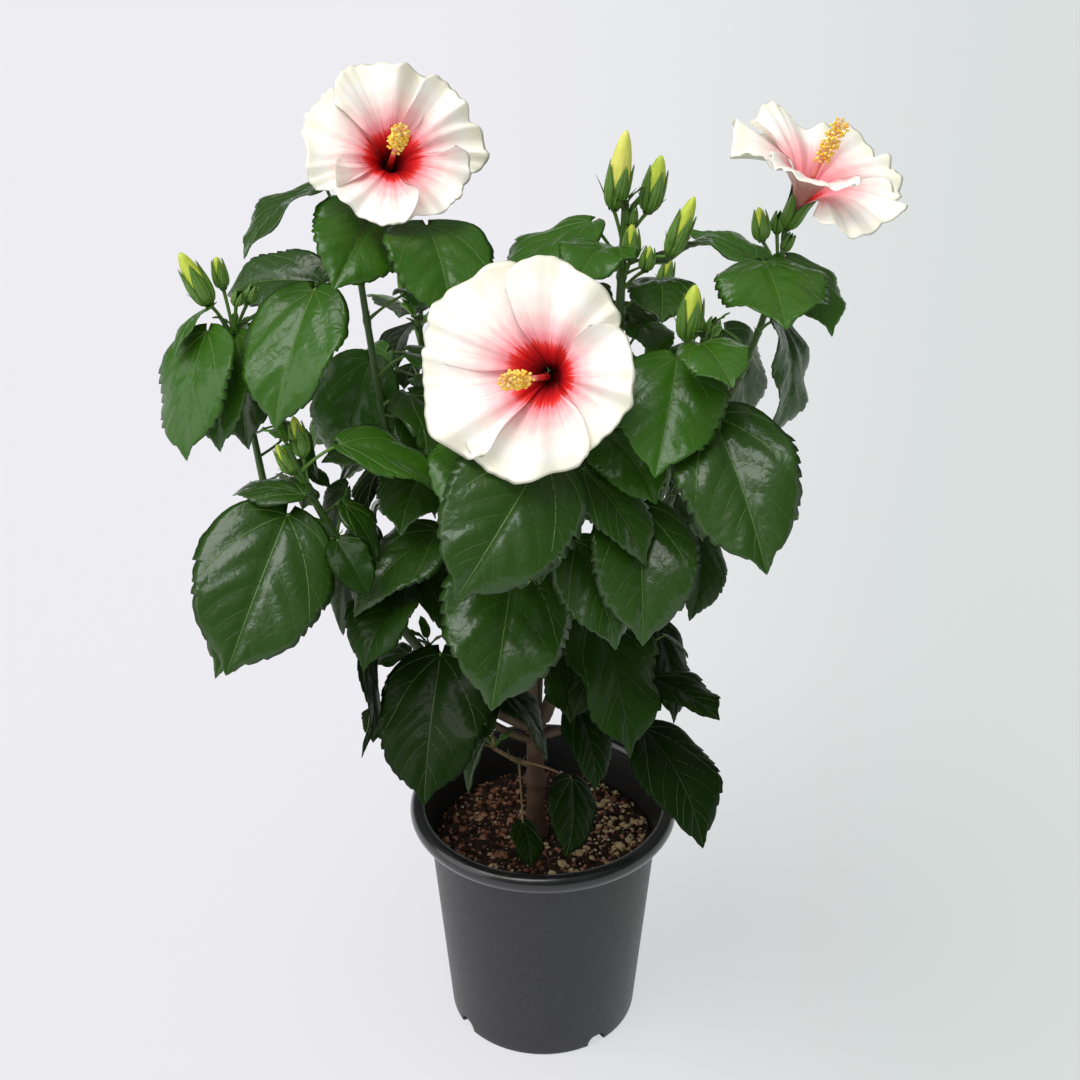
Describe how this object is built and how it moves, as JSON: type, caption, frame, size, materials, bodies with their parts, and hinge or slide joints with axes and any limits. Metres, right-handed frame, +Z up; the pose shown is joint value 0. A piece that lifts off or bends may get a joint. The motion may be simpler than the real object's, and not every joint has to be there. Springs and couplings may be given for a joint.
{
  "type": "potted hibiscus shrub",
  "caption": "Hibiscus shrub with glossy toothed leaves, upright buds and wide cream blooms with a crimson throat, growing in a round black nursery pot with a rolled rim.",
  "frame": {"origin": "middle of the pot's flat underside", "axes": "+Z up along the pot's axis, -Y towards the front, +X to the right seen from the front"},
  "size_m": [0.481, 0.3584, 0.7322],
  "materials": {
    "pot_plastic": "satin black, glossier on the rolled rim",
    "potting_mix": "moist, crumbly",
    "bark": "tan bark, reddish brown low down",
    "green_wood": "young green-brown bark",
    "foliage": "glossy green leaves"
  },
  "bodies": {
    "root": {"pot": "pot_plastic", "potting_mix": "potting_mix", "trunk": "bark", "bough_right_main": "green_wood", "bough_right": "green_wood", "bough_right_front": "green_wood", "bough_centre": "green_wood", "bough_upper_left": "green_wood", "bough_left": "green_wood", "bough_low_left": "green_wood", "bough_back_left": "green_wood", "bough_back": "green_wood", "bough_back_right": "green_wood", "bough_lower_right": "green_wood", "bough_lower_left": "green_wood", "bough_lower_back": "green_wood", "foliage_low_left": "foliage", "foliage_left": "foliage", "foliage_upper_left": "foliage", "foliage_centre": "foliage", "foliage_top": "foliage", "foliage_right": "foliage", "foliage_right_front": "foliage", "foliage_lower_right": "foliage", "foliage_lower_left": "foliage", "foliage_lower_back": "foliage", "foliage_foot": "foliage", "foliage_back_left": "foliage", "foliage_back": "foliage", "foliage_back_right": "foliage"}
  },
  "joints": []
}
